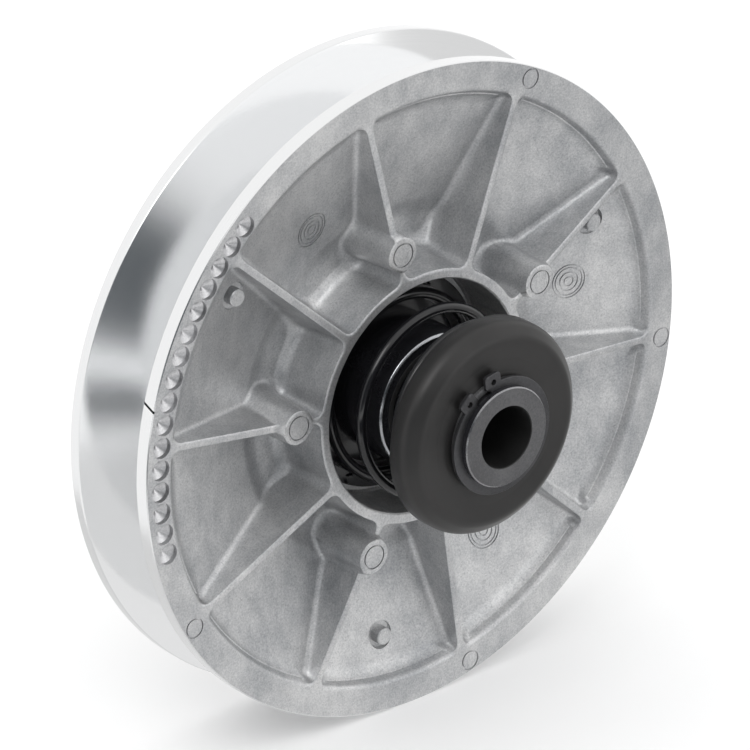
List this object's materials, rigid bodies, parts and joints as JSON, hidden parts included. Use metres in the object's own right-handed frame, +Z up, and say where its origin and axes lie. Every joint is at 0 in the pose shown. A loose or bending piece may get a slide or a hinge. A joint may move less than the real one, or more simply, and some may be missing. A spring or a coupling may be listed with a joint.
{
  "type": "variator driven pulley",
  "caption": "Driven pulley of a belt variator: a ribbed sliding sheave and a fixed sheave on a hollow post, shut by a coil spring behind a retaining cup.",
  "frame": {"origin": "on the axis, midway between the belt faces when the pulley is shut", "axes": "Y along the axis with the fixed sheave on +Y and the spring cup on -Y, +Z up"},
  "size_m": [0.27, 0.111, 0.27],
  "materials": {
    "cast_aluminium": "die cast, machined on the rim and belt face",
    "post_steel": "ground, oiled",
    "rivet_steel": "zinc plated",
    "cup_black": "matte hard anodised charcoal",
    "ring_phosphate": "black phosphate",
    "pin_steel": "ground and hardened",
    "roller_steel": "ground",
    "tube_black": "glossy black oxide",
    "seal_rubber": "nitrile rubber",
    "bush_bronze": "bronze backed bushing",
    "spring_black": "glossy black powder coat",
    "washer_plastic": "natural nylon",
    "washer_steel": "plain"
  },
  "bodies": {
    "fixed_half": {"fixed_sheave": "cast_aluminium", "post": "post_steel", "post_flange": "post_steel", "sheave_rivets": "rivet_steel", "spring_cup": "cup_black", "cup_shim": "washer_steel", "retaining_ring": "ring_phosphate", "guide_pin_1": "pin_steel", "guide_pin_2": "pin_steel", "guide_pin_3": "pin_steel"},
    "spring_carrier": {"spring_washer": "washer_plastic", "spring": "spring_black"},
    "sliding_half": {"sliding_sheave": "cast_aluminium", "cam_tube": "tube_black", "tube_flange": "tube_black", "tube_rivets": "rivet_steel", "seal_collar": "tube_black", "collar_o_ring": "seal_rubber", "front_bushing": "bush_bronze", "rear_bushing": "bush_bronze", "front_seal": "seal_rubber", "rear_seal": "seal_rubber", "seat_washer": "washer_steel"},
    "roller_1": {"guide_roller_1": "roller_steel"},
    "roller_2": {"guide_roller_2": "roller_steel"},
    "roller_3": {"guide_roller_3": "roller_steel"}
  },
  "joints": [
    {"name": "sheave_turn", "type": "hinge", "parent": "fixed_half", "child": "spring_carrier", "pos_m": [0, 0, 0], "axis": [0, -1, 0], "range_deg": [0, 49]},
    {"name": "sheave_slide", "type": "slide", "parent": "spring_carrier", "child": "sliding_half", "axis": [0, -1, 0], "range_m": [0, 0.022], "stiffness_N_per_m": 4500, "springref_m": -0.022, "deforming": ["spring"]},
    {"name": "roller_1_spin", "type": "hinge", "parent": "fixed_half", "child": "roller_1", "pos_m": [0.02349, -0.0215, 0.00855], "axis": [0.9397, 0, 0.342], "continuous": true},
    {"name": "roller_2_spin", "type": "hinge", "parent": "fixed_half", "child": "roller_2", "pos_m": [-0.01915, -0.0215, 0.01607], "axis": [-0.766, 0, 0.6428], "continuous": true},
    {"name": "roller_3_spin", "type": "hinge", "parent": "fixed_half", "child": "roller_3", "pos_m": [-0.00434, -0.0215, -0.02462], "axis": [-0.1736, 0, -0.9848], "continuous": true}
  ],
  "couplings": [
    {"joint": "sheave_turn", "follows": "sheave_slide", "rad_per_m": 38.496},
    {"joint": "roller_1_spin", "follows": "sheave_slide", "rad_per_m": 309.61},
    {"joint": "roller_2_spin", "follows": "sheave_slide", "rad_per_m": 309.61},
    {"joint": "roller_3_spin", "follows": "sheave_slide", "rad_per_m": 309.61}
  ]
}
